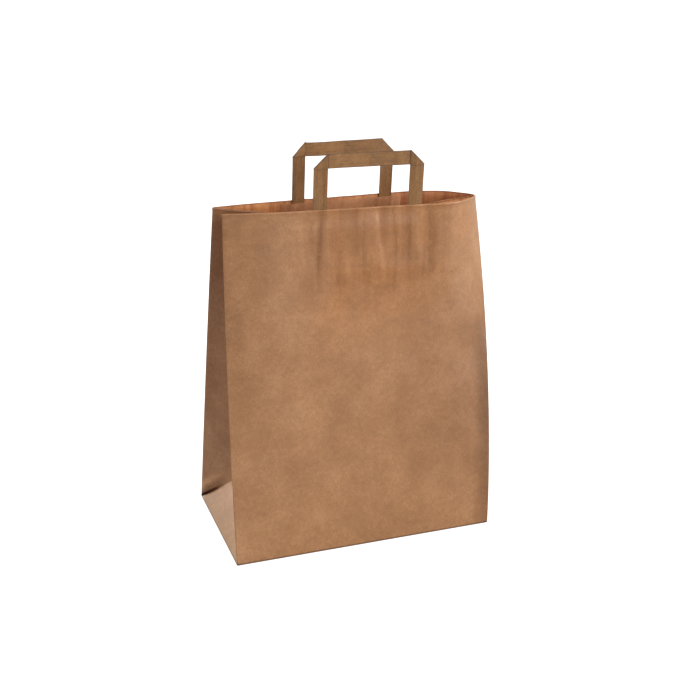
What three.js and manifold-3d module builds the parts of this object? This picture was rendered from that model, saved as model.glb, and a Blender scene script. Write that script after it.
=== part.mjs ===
import * as THREE from 'three';
import { mergeVertices } from 'three/addons/utils/BufferGeometryUtils.js';
import Module from 'manifold-3d';

const wasm = await Module();
wasm.setup();

// A block-bottom paper carrier bag, standing open and empty, in millimetres.
// The origin is the middle of its base, +X runs along the front panel,
// the front panel faces -Y and +Z is up.

// The bag as it is cut and creased
const bagWidth = 320;
const bagDepth = 165;
const bagHeight = 400;
const paper = 0.15;
const flapOverlap = 24;
const seamWidth = 20;
const seamInset = 2;

// How far the mouth has fallen shut: places of the rim in Y
const mouth = {
  front: { middle: -53, turn: -5, left: -24, right: -0.8 },
  back: { middle: 21, turn: 1, left: 15, right: 0.8 },
};
const cornerInset = 2;
const edgeBelly = {
  front: { left: 8, right: -10 },
  back: { left: 2.5, right: 9 },
};
// The flat stretch of each panel beyond its reinforcement, and how far the rim
// runs on before it curves away to the corner
const flatMargin = 5;
const rimReach = {
  front: { left: 42, right: 40 },
  back: { left: 50, right: 52 },
};

// The handles: flat folded tape, mitred at both top corners.
// Both are alike, and are glued in at slightly different heights.
const tapeWidth = 15.5;
const tapeThickness = 0.7;
const handleWidth = 124;
const handleHeight = 124.5;
const handleRise = { front: 59.5, back: 65 };
const handleLean = { front: -1, back: -0.5 };
const handleShift = { front: -1.5, back: -1.5 };
const plyBite = 0.05;

// The reinforcement patches, glued over the legs inside the bag
const patchMargin = 13;
const patchTop = 4;
const patchHeight = 62;
const patchRamp = 3;
const patchShift = { front: 1, back: -1 };
const patchSteps = 4;

// The space left between two pieces that are glued together
const seat = 0.3;

// The fineness of the folded sheet
const rowCount = 14;
const gussetSteps = 3;
const wingSteps = 5;
const flatSteps = 4;

const degrees = Math.PI / 180;
const halfWidth = bagWidth / 2;
const halfDepth = bagDepth / 2;
const floorHeight = 2.5 * paper;
const patchHalf = handleWidth / 2 + patchMargin;
const flatHalf = patchHalf + flatMargin;

const kraft = new THREE.MeshStandardMaterial({ color: 0xa87a55, roughness: 0.85, metalness: 0 });
const kraftTape = new THREE.MeshStandardMaterial({ color: 0x9b7850, roughness: 0.8, metalness: 0 });
const kraftPatch = new THREE.MeshStandardMaterial({ color: 0xb0764a, roughness: 0.85, metalness: 0 });

// Panels. A panel is known by its side, 'front' or 'back', and a place on it by
// the distance along the paper from its middle, and by the share of its height.

function facing(side) {
  return side === 'front' ? -1 : 1;
}

function flatRim(side, along) {
  const { middle, turn } = mouth[side];
  const angle = turn * degrees;
  return new THREE.Vector2(along * Math.cos(angle), middle + along * Math.sin(angle));
}

function wingCurve(side, hand) {
  const sign = hand === 'right' ? 1 : -1;
  const start = flatRim(side, sign * flatHalf);
  const reach = flatRim(side, sign * (flatHalf + rimReach[side][hand]));
  const corner = new THREE.Vector2(sign * (halfWidth - cornerInset), mouth[side][hand]);
  return new THREE.QuadraticBezierCurve(start, reach, corner);
}

function rimPlan(side, along) {
  if (Math.abs(along) <= flatHalf) return flatRim(side, along);
  const share = (Math.abs(along) - flatHalf) / (halfWidth - flatHalf);
  return wingCurve(side, along > 0 ? 'right' : 'left').getPoint(Math.min(share, 1));
}

function basePoint(side, along) {
  return new THREE.Vector3(along, facing(side) * halfDepth, floorHeight);
}

function rimPoint(side, along) {
  const plan = rimPlan(side, along);
  const base = basePoint(side, along);
  const run = Math.hypot(plan.x - base.x, plan.y - base.y);
  return new THREE.Vector3(plan.x, plan.y, base.z + Math.sqrt(bagHeight ** 2 - run ** 2));
}

function bellyAt(side, along) {
  if (Math.abs(along) <= flatHalf) return 0;
  const share = (Math.abs(along) - flatHalf) / (halfWidth - flatHalf);
  return edgeBelly[side][along > 0 ? 'right' : 'left'] * share ** 2;
}

function panelPoint(side, along, share) {
  const point = basePoint(side, along).lerp(rimPoint(side, along), share);
  point.y += bellyAt(side, along) * 4 * share * (1 - share);
  return point;
}

// Gussets. Each folds inwards along its middle, above the triangle that its
// two 45 degree creases leave standing on the base.

function leanOf(side, sign) {
  const rim = rimPoint(side, sign * halfWidth);
  return Math.asin(Math.abs(rim.y - facing(side) * halfDepth) / bagHeight);
}

function gussetFoot(sign) {
  const lean = (leanOf('front', sign) + leanOf('back', sign)) / 2;
  const share = (1 - Math.sin(lean)) / Math.cos(lean);
  const inward = halfDepth * Math.sqrt(1 - share ** 2);
  return new THREE.Vector3(sign * (halfWidth - inward), 0, floorHeight + halfDepth * share);
}

// The top of the middle crease: half a gusset from both corners of the mouth,
// and the crease's own length from its foot
function gussetPeak(sign) {
  const front = rimPoint('front', sign * halfWidth);
  const back = rimPoint('back', sign * halfWidth);
  const middle = front.clone().add(back).multiplyScalar(0.5);
  const reach = Math.sqrt(halfDepth ** 2 - front.distanceToSquared(back) / 4);
  const foot = gussetFoot(sign);
  const crease = Math.sqrt((bagHeight - halfDepth) ** 2 - (foot.y - middle.y) ** 2);
  const across = foot.x - middle.x;
  const down = foot.z - middle.z;
  const gap = Math.hypot(across, down);
  const along = (reach ** 2 - crease ** 2 + gap ** 2) / (2 * gap);
  const aside = Math.sqrt(reach ** 2 - along ** 2);
  const x = middle.x + (along * across + aside * sign * down) / gap;
  const z = middle.z + (along * down - aside * sign * across) / gap;
  return new THREE.Vector3(x, middle.y, z);
}

function gussetPoint(side, sign, fold, share) {
  const foot = basePoint(side, sign * halfWidth).lerp(gussetFoot(sign), fold);
  const top = rimPoint(side, sign * halfWidth).lerp(gussetPeak(sign), fold);
  const point = foot.lerp(top, share);
  point.y += bellyAt(side, sign * halfWidth) * (1 - fold) * 4 * share * (1 - share);
  return point;
}

// The folded sheet: its columns run right round the bag, from the left end of
// the front panel through both gussets and the back panel

function panelStops(side) {
  const stops = [];
  for (let i = 0; i < wingSteps; i += 1) {
    stops.push(-halfWidth + (i * (halfWidth - flatHalf)) / wingSteps);
  }
  for (let i = 0; i <= flatSteps; i += 1) {
    stops.push(-flatHalf + (i * 2 * flatHalf) / flatSteps);
  }
  for (let i = 1; i <= wingSteps; i += 1) {
    stops.push(flatHalf + (i * (halfWidth - flatHalf)) / wingSteps);
  }
  if (side === 'front') return stops;
  const seamFrom = halfWidth - seamInset - seamWidth;
  const seamTo = halfWidth - seamInset;
  const clear = stops.filter((s) => Math.abs(s - seamFrom) > seamInset || s === halfWidth);
  return [...clear, seamFrom - paper, seamFrom, seamTo].sort((a, b) => b - a);
}

function sheetColumns() {
  const columns = [];
  const seamFrom = halfWidth - seamInset - seamWidth;
  for (const along of panelStops('front')) {
    columns.push({ at: (share) => panelPoint('front', along, share), plies: 1, along, side: 'front' });
  }
  addGusset(columns, 'front', 'back', 1);
  for (const along of panelStops('back')) {
    const plies = along >= seamFrom && along < halfWidth - seamInset / 2 ? 2 : 1;
    columns.push({ at: (share) => panelPoint('back', along, share), plies, along, side: 'back' });
  }
  addGusset(columns, 'back', 'front', -1);
  return columns;
}

// The gusset columns between the two fold edges that the panels already hold
function addGusset(columns, firstSide, lastSide, sign) {
  for (let i = 1; i < 2 * gussetSteps; i += 1) {
    const fromFirst = i / gussetSteps;
    const side = fromFirst <= 1 ? firstSide : lastSide;
    const fold = fromFirst <= 1 ? fromFirst : 2 - fromFirst;
    columns.push({ at: (share) => gussetPoint(side, sign, fold, share), plies: 1, fold, side, sign });
  }
}

// The middle surface of the paper, as points and triangles that face outwards
function middleSurface() {
  const columns = sheetColumns();
  const points = [];
  const plies = [];
  const faces = [];
  for (const column of columns) {
    for (let row = 0; row <= rowCount; row += 1) {
      points.push(column.at(row / rowCount));
      plies.push(column.plies);
    }
  }
  const index = (column, row) => (column % columns.length) * (rowCount + 1) + row;
  for (let c = 0; c < columns.length; c += 1) {
    for (let row = 0; row < rowCount; row += 1) {
      const [a, b] = [index(c, row), index(c + 1, row)];
      const [d, e] = [index(c, row + 1), index(c + 1, row + 1)];
      faces.push([a, b, e], [a, e, d]);
    }
  }
  const outline = [];
  for (let c = 0; c < columns.length; c += 1) {
    const { fold, sign } = columns[c];
    if (fold === undefined) {
      outline.push(index(c, 0));
      continue;
    }
    // the foot of a gusset column lies on a 45 degree crease, over the base edge
    const toBack = columns[c].side === 'back' ? 1 : -1;
    points.push(new THREE.Vector3(sign * halfWidth, toBack * halfDepth * (1 - fold), floorHeight));
    plies.push(1);
    outline.push(points.length - 1);
  }
  for (let c = 0; c < columns.length; c += 1) {
    const next = (c + 1) % columns.length;
    const low = [outline[c], outline[next]];
    const high = [index(c, 0), index(next, 0)];
    if (low[1] !== high[1]) faces.push([low[0], low[1], high[1]]);
    if (low[0] !== high[0]) faces.push([low[0], high[1], high[0]]);
  }
  const plan = outline.map((i) => new THREE.Vector2(points[i].x, points[i].y));
  for (const [a, b, c] of THREE.ShapeUtils.triangulateShape(plan, [])) {
    faces.push([outline[c], outline[b], outline[a]]);
  }
  return { points, plies, faces, rim: columns.map((_, c) => index(c, rowCount)) };
}

// The direction in which each point of a surface faces
function pointNormals(points, faces) {
  const normals = points.map(() => new THREE.Vector3());
  const triangle = new THREE.Triangle();
  const normal = new THREE.Vector3();
  for (const face of faces) {
    triangle.set(points[face[0]], points[face[1]], points[face[2]]);
    triangle.getNormal(normal);
    for (let k = 0; k < 3; k += 1) {
      const before = points[face[(k + 2) % 3]].clone().sub(points[face[k]]);
      const after = points[face[(k + 1) % 3]].clone().sub(points[face[k]]);
      normals[face[k]].addScaledVector(normal, before.angleTo(after));
    }
  }
  return normals.map((n) => n.normalize());
}

// A wall of paper about a middle surface, closed along its rim
function paperWall({ points, plies, faces, rim }) {
  const normals = pointNormals(points, faces);
  const outside = points.map((p, i) => p.clone().addScaledVector(normals[i], (plies[i] - 0.5) * paper));
  const inside = points.map((p, i) => p.clone().addScaledVector(normals[i], -paper / 2));
  const count = points.length;
  const triangles = [];
  for (const [a, b, c] of faces) {
    triangles.push([a, b, c], [count + a, count + c, count + b]);
  }
  for (let i = 0; i < rim.length; i += 1) {
    const [a, b] = [rim[i], rim[(i + 1) % rim.length]];
    triangles.push([a, b, count + b], [a, count + b, count + a]);
  }
  return meshOf([...outside, ...inside], triangles);
}

function meshOf(points, triangles) {
  const geometry = new THREE.BufferGeometry();
  geometry.setAttribute('position', new THREE.Float32BufferAttribute(points.flatMap((p) => p.toArray()), 3));
  geometry.setIndex(triangles.flat());
  return geometry;
}

// Joining solids

function solidOf(geometry) {
  const bare = geometry.clone();
  bare.deleteAttribute('normal');
  bare.deleteAttribute('uv');
  const merged = mergeVertices(bare, 1e-4);
  return new wasm.Manifold(new wasm.Mesh({
    numProp: 3,
    vertProperties: new Float32Array(merged.attributes.position.array),
    triVerts: new Uint32Array(merged.index.array),
  }));
}

function geometryOf(solid) {
  const mesh = solid.getMesh();
  const geometry = new THREE.BufferGeometry();
  geometry.setAttribute('position', new THREE.Float32BufferAttribute(mesh.vertProperties, 3));
  geometry.setIndex(Array.from(mesh.triVerts));
  return geometry;
}

function joined(geometries) {
  return geometryOf(geometries.map(solidOf).reduce((whole, part) => whole.add(part)));
}

// A long flap of the base, folded in along its panel's edge with both its ends
// running in at 45 degrees, and lying between two heights
function baseFlap(side, low, high) {
  const reach = halfDepth + flapOverlap / 2;
  const edge = facing(side) * halfDepth;
  const inner = edge - facing(side) * reach;
  const shape = new THREE.Shape([
    new THREE.Vector2(-halfWidth, edge),
    new THREE.Vector2(halfWidth, edge),
    new THREE.Vector2(halfWidth - reach, inner),
    new THREE.Vector2(reach - halfWidth, inner),
  ]);
  const flap = new THREE.ExtrudeGeometry(shape, { depth: high - low, bevelEnabled: false });
  return flap.translate(0, 0, low);
}

function bagBody() {
  const bite = paper / 4;
  return joined([
    paperWall(middleSurface()),
    baseFlap('front', paper, 2 * paper + bite),
    baseFlap('back', 0, paper + bite),
  ]);
}

// Pieces that lie on a panel. A place is given by the distance along the rim,
// the height over the rim and the depth into the bag from the paper's middle.

function placeOnPanel(side, along, height, depth) {
  const rim = rimPoint(side, along);
  const down = basePoint(side, along).sub(rim).normalize();
  const across = rimPoint(side, along + 1).sub(rimPoint(side, along - 1)).normalize();
  const panelUp = down.clone().negate();
  const lean = handleLean[side] * degrees;
  const freeUp = new THREE.Vector3(0, Math.sin(lean), Math.cos(lean));
  const up = height > 0 ? freeUp : panelUp;
  const facingUp = height === 0 ? panelUp.clone().add(freeUp).normalize() : up;
  const inward = facingUp.clone().cross(across).normalize().multiplyScalar(-facing(side));
  return rim.addScaledVector(up, height).addScaledVector(inward, depth);
}

// A flat strip as a closed solid. Each rung has two ends, given as a distance
// along and a height, and the depths of its outer and inner face. The first
// and last rungs may have both ends at one point.
function strip(side, rungs, steps) {
  const points = [];
  const known = new Map();
  const pointAt = (along, height, depth) => {
    const key = `${along} ${height} ${depth}`;
    if (!known.has(key)) {
      known.set(key, points.length);
      points.push(placeOnPanel(side, along, height, depth));
    }
    return known.get(key);
  };
  const lines = rungs.map(({ ends: [low, high], outer, inner }) => {
    const line = { outside: [], inside: [] };
    for (let k = 0; k <= steps; k += 1) {
      const along = low[0] + ((high[0] - low[0]) * k) / steps;
      const height = low[1] + ((high[1] - low[1]) * k) / steps;
      line.outside.push(pointAt(along, height, outer));
      line.inside.push(pointAt(along, height, inner));
    }
    return line;
  });
  const triangles = [];
  const addQuad = (a, b, c, d) => {
    for (const face of [[a, b, c], [a, c, d]]) {
      if (new Set(face).size === 3) triangles.push(face);
    }
  };
  for (let i = 0; i + 1 < lines.length; i += 1) {
    const [here, next] = [lines[i], lines[i + 1]];
    for (let k = 0; k < steps; k += 1) {
      addQuad(here.outside[k], here.outside[k + 1], next.outside[k + 1], next.outside[k]);
      addQuad(here.inside[k], next.inside[k], next.inside[k + 1], here.inside[k + 1]);
    }
    addQuad(here.outside[0], next.outside[0], next.inside[0], here.inside[0]);
    addQuad(here.outside[steps], here.inside[steps], next.inside[steps], next.outside[steps]);
  }
  const [first, last] = [lines[0], lines[lines.length - 1]];
  for (let k = 0; k < steps; k += 1) {
    addQuad(first.outside[k], first.inside[k], first.inside[k + 1], first.outside[k + 1]);
    addQuad(last.outside[k], last.outside[k + 1], last.inside[k + 1], last.inside[k]);
  }
  return outward(meshOf(points, triangles));
}

// Turns a closed mesh's faces over if they point inwards
function outward(geometry) {
  const at = geometry.attributes.position;
  const order = geometry.index.array;
  const [a, b, c] = [new THREE.Vector3(), new THREE.Vector3(), new THREE.Vector3()];
  let volume = 0;
  for (let i = 0; i < order.length; i += 3) {
    a.fromBufferAttribute(at, order[i]);
    b.fromBufferAttribute(at, order[i + 1]);
    c.fromBufferAttribute(at, order[i + 2]);
    volume += a.dot(b.cross(c));
  }
  if (volume < 0) {
    for (let i = 0; i < order.length; i += 3) [order[i + 1], order[i + 2]] = [order[i + 2], order[i + 1]];
  }
  return geometry;
}

// The legs lie against the panel, and the grip is mitred over them on the
// bag's inner side
const legOuter = paper / 2 + seat;
const legInner = legOuter + tapeThickness;
const gripInner = legInner + tapeThickness;

function handleLeg(side, sign) {
  const middle = handleShift[side];
  const outerEdge = middle + (sign * handleWidth) / 2;
  const innerEdge = outerEdge - sign * tapeWidth;
  const depths = { outer: legOuter, inner: legInner + plyBite };
  const legEnd = handleRise[side] - handleHeight;
  const heights = [legEnd, legEnd / 2, 0, handleRise[side] - tapeWidth];
  const rungs = heights.map((height) => ({ ends: [[outerEdge, height], [innerEdge, height]], ...depths }));
  const tip = [innerEdge, handleRise[side]];
  return strip(side, [...rungs, { ends: [tip, tip], ...depths }], 1);
}

function handleGrip(side) {
  const middle = handleShift[side];
  const outerEdge = handleWidth / 2;
  const innerEdge = outerEdge - tapeWidth;
  const high = handleRise[side];
  const low = high - tapeWidth;
  const depths = { outer: legInner, inner: gripInner };
  const tipLeft = [middle - outerEdge, low];
  const tipRight = [middle + outerEdge, low];
  return strip(side, [
    { ends: [tipLeft, tipLeft], ...depths },
    { ends: [[middle - innerEdge, low], [middle - innerEdge, high]], ...depths },
    { ends: [[middle + innerEdge, low], [middle + innerEdge, high]], ...depths },
    { ends: [tipRight, tipRight], ...depths },
  ], 1);
}

function handle(side) {
  return joined([handleLeg(side, -1), handleLeg(side, 1), handleGrip(side)]);
}

// The patch lies on the panel and is pressed up over both legs
function patch(side) {
  const over = legInner + plyBite + seat;
  const profile = [[patchShift[side] - patchHalf, legOuter]];
  for (const sign of [-1, 1]) {
    const legMiddle = handleShift[side] + (sign * (handleWidth - tapeWidth)) / 2;
    const halfOver = tapeWidth / 2 + seat;
    profile.push([legMiddle - halfOver - patchRamp, legOuter]);
    profile.push([legMiddle - halfOver, over]);
    profile.push([legMiddle + halfOver, over]);
    profile.push([legMiddle + halfOver + patchRamp, legOuter]);
  }
  profile.push([patchShift[side] + patchHalf, legOuter]);
  const rungs = profile.map(([along, depth]) => ({
    ends: [[along, -patchTop], [along, -patchTop - patchHeight]],
    outer: depth,
    inner: depth + paper,
  }));
  return strip(side, rungs, patchSteps);
}

function named(name, geometry, material) {
  const mesh = new THREE.Mesh(geometry, material);
  mesh.name = name;
  return mesh;
}

const bag = new THREE.Group();
bag.add(named('bag_body', bagBody(), kraft));
for (const side of ['front', 'back']) {
  bag.add(named(`${side}_handle`, handle(side), kraftTape));
  bag.add(named(`${side}_handle_patch`, patch(side), kraftPatch));
}

export default bag;
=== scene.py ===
"""A block-bottom paper carrier bag with two flat paper handles, standing open and empty.

The sheet is laid out flat and folded into its bag, and so is each handle's tape.
The bag's sizes are in millimetres until a mesh or a material gets them, and the
places of the camera and the lamps are in metres.
"""

import math

import bpy
import numpy as np
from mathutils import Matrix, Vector, noise


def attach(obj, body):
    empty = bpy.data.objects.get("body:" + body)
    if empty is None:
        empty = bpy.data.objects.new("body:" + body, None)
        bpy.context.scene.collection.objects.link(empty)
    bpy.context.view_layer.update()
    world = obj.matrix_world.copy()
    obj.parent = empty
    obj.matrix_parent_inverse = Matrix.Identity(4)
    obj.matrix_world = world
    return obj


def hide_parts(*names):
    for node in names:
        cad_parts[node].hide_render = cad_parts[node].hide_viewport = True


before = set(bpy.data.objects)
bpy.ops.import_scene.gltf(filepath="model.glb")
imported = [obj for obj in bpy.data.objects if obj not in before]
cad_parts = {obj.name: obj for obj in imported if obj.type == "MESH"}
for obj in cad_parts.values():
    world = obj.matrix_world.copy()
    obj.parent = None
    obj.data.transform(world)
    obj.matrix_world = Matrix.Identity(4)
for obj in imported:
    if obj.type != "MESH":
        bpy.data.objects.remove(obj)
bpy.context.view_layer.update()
mm = 0.001

# The bag as it is cut and creased. On the laid-out sheet the front panel's
# middle is at 0, and the back panel's middle is at back_centre.
half_width = 160
half_depth = 82.5
bag_height = 400
paper = 0.15
flap_reach = 94.5
seam_from = 138
seam_to = 158
back_centre = -2 * (half_width + half_depth)

# How high the plies of the folded base lie, and where the front flap climbs over the back one
ply_step = 0.3
tuck_height = 0.65
gusset_under = 1.05
floor_height = 0.75
climb_from = 60
climb_run = 15
tuck_run = 0.6

# How the mouth has fallen shut: the rims' places in Y, the turn of their flat
# stretch in degrees, and how far they run on before they curve to a corner
rim_middle = {"front": -53, "back": 21}
rim_turn = {"front": -5, "back": 1}
rim_corner = {"front": {-1: -24, 1: -0.8}, "back": {-1: 15, 1: 0.8}}
rim_reach = {"front": {-1: 42, 1: 40}, "back": {-1: 50, 1: 52}}
flat_half = 80
corner_inset = 2

# How the panels belly towards the back at their folds halfway up, how far that
# draws the folds in, and how closely the belly keeps to the folds lower down
edge_belly = {"front": {-1: 8, 1: -22}, "back": {-1: 2.5, 1: 9}}
edge_draw = {"front": {-1: 0, 1: 3.7}, "back": {-1: 0, 1: 0}}
belly_power = 2
low_belly_power = {"front": {-1: 2, 1: 2.6}, "back": {-1: 2, 1: 3}}

# The handles and the patches over their legs
tape_width = 15.5
tape_thickness = 0.7
handle_half = 62
handle_height = 124.5
handle_rise = {"front": 59.7, "back": 64.7}
handle_shift = -1.5
handle_lean = {"front": -1, "back": -0.5}
leg_depth = 0.75
grip_depth = 1.5
mitre_reach = 2.5
mitre_radius = 0.5
mitre_bulge = 0.245
tape_wave = 0.3
tape_seed = {"front": 5, "back": 15}
patch_half = 75
patch_top = 4
patch_height = 62
patch_shift = {"front": 1, "back": -1}
patch_depth = 0.22

# The spacing of the points on the laid-out sheet, which is finer beside folds and edges
spacing = 3.2
gusset_spacing = 3.173
near_fold = [0.7, 1.6]
near_rim = [2.4, 1.8, 1.3, 0.9, 0.5, 0.2, 0]

# Soft waves in the sheet: how high they stand, their size across and up, and their seed.
# Each face adds a seed of its own, where the gussets are -1 on the left and 1 on the right.
panel_waves = [(2.4, 95, 120, 20), (1.1, 34, 48, 25)]
gusset_waves = [(1.8, 55, 75, 0), (0.7, 24, 30, 5)]
step_wander = [(1.8, 30, 35, 0)]
wave_seed = {"front": 3, "back": 9, -1: 80, 1: 60}

# Where each panel steps outwards (or inwards, below zero) beside the glued
# legs: the place along the rim, the step, how wide it is, the stretch of the
# panel's height that it covers, and how far it slants on its way down
panel_steps = {
    "front": [
        (-77, -1.1, 6, 326, 388, 0.03),
        (-66, 1.3, 5, 338, 386, 0.02),
        (-52, 1.5, 5, 318, 401, -0.1),
        (-36, -1.5, 8, 335, 401, 0.02),
        (-5, 1.4, 6, 305, 394, -0.02),
        (8, -1.7, 7, 312, 396, 0.12),
        (27, 1.3, 5, 330, 401, 0.12),
        (35, -0.8, 4, 335, 400, 0.02),
        (47, 1.1, 7, 318, 401, 0.02),
        (56, -1.5, 5, 328, 382, 0.04),
        (61, -1.3, 4, 362, 401, -0.05),
        (68.5, 1.7, 6, 318, 401, 0.05),
        (76, 0.7, 8, 330, 372, 0.02),
        (73, -0.9, 8, 262, 318, -0.635),
        (61, 1.2, 14, 255, 325, 0.35),
        (-1, -0.6, 8, 262, 316, -0.4),
        (71, 0.6, 6, 268, 325, -0.07),
        (73, -0.6, 7, 262, 300, 0),
    ],
    "back": [
        (-76, -1.0, 5, 325, 396, 0.03),
        (-58, 1.0, 7, 330, 401, -0.04),
        (-46, -0.8, 4, 318, 401, 0.02),
        (-20, 0.9, 6, 335, 392, 0.1),
        (0, -0.9, 5, 328, 398, -0.08),
        (24, 0.7, 5, 338, 390, 0.03),
        (46, 0.7, 6, 322, 401, -0.02),
        (59, -1.1, 4, 325, 401, 0.05),
        (73, 1.0, 5, 320, 397, 0.04),
    ],
}

# A step that slants no more than this is also drawn as a crisp crease, whose
# width and height are these shares of the step's own
crisp_slant = 0.3
crisp_width = 0.6
crisp_height = 0.13

# Soft rectangles on the laid-out sheet whose tint paints light and shade into the colour: a painted sheen
# on the upper right, and painted shade on the lower right, along the right border, on the gusset below the
# mouth and along the fold beside the base triangle. Each gives its middle, its half size and how soft its
# edges are, each across and up, and the tint
painted_light_and_shade = {
    "painted sheen, upper right": ((150, 340), (25, 60), (50, 80), (1.0, 1.07, 1.2)),
    "painted shade, lower right": ((130, 190), (60, 100), (80, 80), (0.8, 0.78, 0.76)),
    "painted shade, right border": ((165, 115), (18, 135), (20, 60), (0.72, 0.7, 0.68)),
    "painted shade, gusset below the mouth": ((-243, 420), (83, 100), (10, 200), (0.68, 0.6, 0.54)),
    "painted shade, fold beside the base triangle": ((-160, 20), (1, 60), (1, 20), (0.7, 0.64, 0.58)),
}

# The camera as the photograph's perspective gives it: angles in degrees, places in
# metres, and the rest in pixels of the picture, which is a crop off the lens's middle
picture_size = 700
lens_middle = (253, 294)
focal_pixels = 983
sensor_width = 36
camera_azimuth = -17.1
camera_elevation = 18.0
camera_distance = 1.236
camera_aside = -0.1104
camera_up = 0.2703


def facing(side):
    return -1 if side == "front" else 1


def smooth(value):
    """Rises from 0 to 1 without corners as the value does."""
    t = np.clip(value, 0, 1)
    return t * t * (3 - 2 * t)


def rise(value, start, run):
    """0 up to the start, and smoothly up to 1 over the run."""
    return smooth((value - start) / run)


def fall(value, end, run):
    """1 up to the run before the end, and smoothly down to 0 over it."""
    return smooth((end - value) / run)


def ridge(value, middle, width):
    return np.exp(-(((value - middle) / width) ** 2))


# The shape of the folded sheet


def flat_rim(side, along):
    turn = math.radians(rim_turn[side])
    return np.array([along * math.cos(turn), rim_middle[side] + along * math.sin(turn)])


def wing_share(along):
    """How far out a place is between the rim's flat stretch and the fold."""
    return min(max((abs(along) - flat_half) / (half_width - flat_half), 0), 1)


def rim_plan(side, along):
    if abs(along) <= flat_half:
        return flat_rim(side, along)
    sign = 1 if along > 0 else -1
    share = wing_share(along)
    start = flat_rim(side, sign * flat_half)
    reach = flat_rim(side, sign * (flat_half + rim_reach[side][sign]))
    corner = np.array([sign * (half_width - corner_inset), rim_corner[side][sign]])
    return (1 - share) ** 2 * start + 2 * share * (1 - share) * reach + share**2 * corner


def base_point(side, along):
    return np.array([along, facing(side) * half_depth, floor_height])


def rim_point(side, along):
    """The rim's height keeps the length of paper between it and the base."""
    plan = rim_plan(side, along)
    base = base_point(side, along)
    run = math.hypot(plan[0] - base[0], plan[1] - base[1])
    return np.array([plan[0], plan[1], base[2] + math.sqrt(bag_height**2 - run**2)])


def belly_at(side, along, share):
    """How far a panel bellies towards the back near its folds."""
    sign = 1 if along > 0 else -1
    low_down = fall(share, end=0.72, run=0.15)
    power = belly_power + (low_belly_power[side][sign] - belly_power) * low_down
    return edge_belly[side][sign] * wing_share(along) ** power * 4 * share * (1 - share)


def draw_at(side, along, share):
    """How far the belly draws a panel's side in."""
    sign = 1 if along > 0 else -1
    return -sign * edge_draw[side][sign] * wing_share(along) ** belly_power * 4 * share * (1 - share)


def lean_of(side, sign):
    run = abs(rim_point(side, sign * half_width)[1] - facing(side) * half_depth)
    return math.asin(run / bag_height)


def gusset_foot(sign):
    """The tip of the base triangle, where the gusset's middle crease starts."""
    lean = (lean_of("front", sign) + lean_of("back", sign)) / 2
    share = (1 - math.sin(lean)) / math.cos(lean)
    inward = half_depth * math.sqrt(1 - share**2)
    return np.array([sign * (half_width - inward), 0, floor_height + half_depth * share])


def gusset_peak(sign):
    """The top of the gusset's middle crease: a sheet's half depth from both corners of the mouth."""
    front = rim_point("front", sign * half_width)
    back = rim_point("back", sign * half_width)
    middle = (front + back) / 2
    reach = math.sqrt(half_depth**2 - np.sum((front - back) ** 2) / 4)
    foot = gusset_foot(sign)
    crease_length = math.sqrt((bag_height - half_depth) ** 2 - (foot[1] - middle[1]) ** 2)
    across = foot[0] - middle[0]
    down = foot[2] - middle[2]
    gap = math.hypot(across, down)
    along = (reach**2 - crease_length**2 + gap**2) / (2 * gap)
    aside = math.sqrt(reach**2 - along**2)
    x = middle[0] + (along * across + aside * sign * down) / gap
    z = middle[2] + (along * down - aside * sign * across) / gap
    return np.array([x, middle[1], z])


def under_point(side, along, under):
    """Where a point of a base flap lies, with the flap's corners tucked in at 45 degrees."""
    sign = 1 if along > 0 else -1
    inset = half_width - abs(along)
    tucked = inset < under
    depth, out = (inset, half_width - under) if tucked else (under, abs(along))
    climb = 0 if side == "back" else ply_step * float(rise(depth, climb_from, climb_run))
    tuck = tuck_height * float(np.clip((under - inset) / tuck_run + 0.5, 0, 1))
    return sign * out, facing(side) * (half_depth - depth), climb + tuck


def panel_column(side, along, heights):
    """The points of one upright line of a panel, from its base flap to its rim."""
    share = np.clip(heights / bag_height, 0, None)[:, None]
    base = base_point(side, along)
    points = base + (rim_point(side, along) - base) * share
    points[:, 0] += draw_at(side, along, share[:, 0])
    points[:, 1] += belly_at(side, along, share[:, 0])
    for i, height in enumerate(heights):
        if height < 0:
            points[i] = under_point(side, along, -height)
    return points


def gusset_column(sign, across, heights):
    """The points of one upright line of a gusset, across its depth from front (below 0) to back."""
    side = "front" if across < 0 else "back"
    inset = half_depth - abs(across)
    fold = inset / half_depth
    corner = np.array([sign * half_width, across, floor_height])
    foot = gusset_foot(sign)
    edge_foot = base_point(side, sign * half_width)
    edge_top = rim_point(side, sign * half_width)
    low = edge_foot + (foot - edge_foot) * fold
    high = edge_top + (gusset_peak(sign) - edge_top) * fold
    points = np.empty((len(heights), 3))
    for i, height in enumerate(heights):
        if height < 0:
            points[i] = (sign * (half_width + height), across, gusset_under)
        elif height < inset:
            points[i] = corner + (foot - [sign * half_width, 0, floor_height]) * height / half_depth
        else:
            share = (height - inset) / (bag_height - inset)
            points[i] = low + (high - low) * share
            points[i][0] += draw_at(side, sign * half_width, share) * (1 - fold)
            points[i][1] += belly_at(side, sign * half_width, share) * (1 - fold)
    return points


# The small shapes that a used sheet takes: its stand off the true surface


def waves(layers, x, heights, seed):
    """Soft waves, as layers of noise stretched over the sheet."""
    total = np.zeros(len(heights))
    for tall, across_size, up_size, own in layers:
        layer = [noise.noise(Vector((x / across_size, h / up_size, seed + own))) for h in heights]
        total += tall * np.array(layer)
    return total


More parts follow.
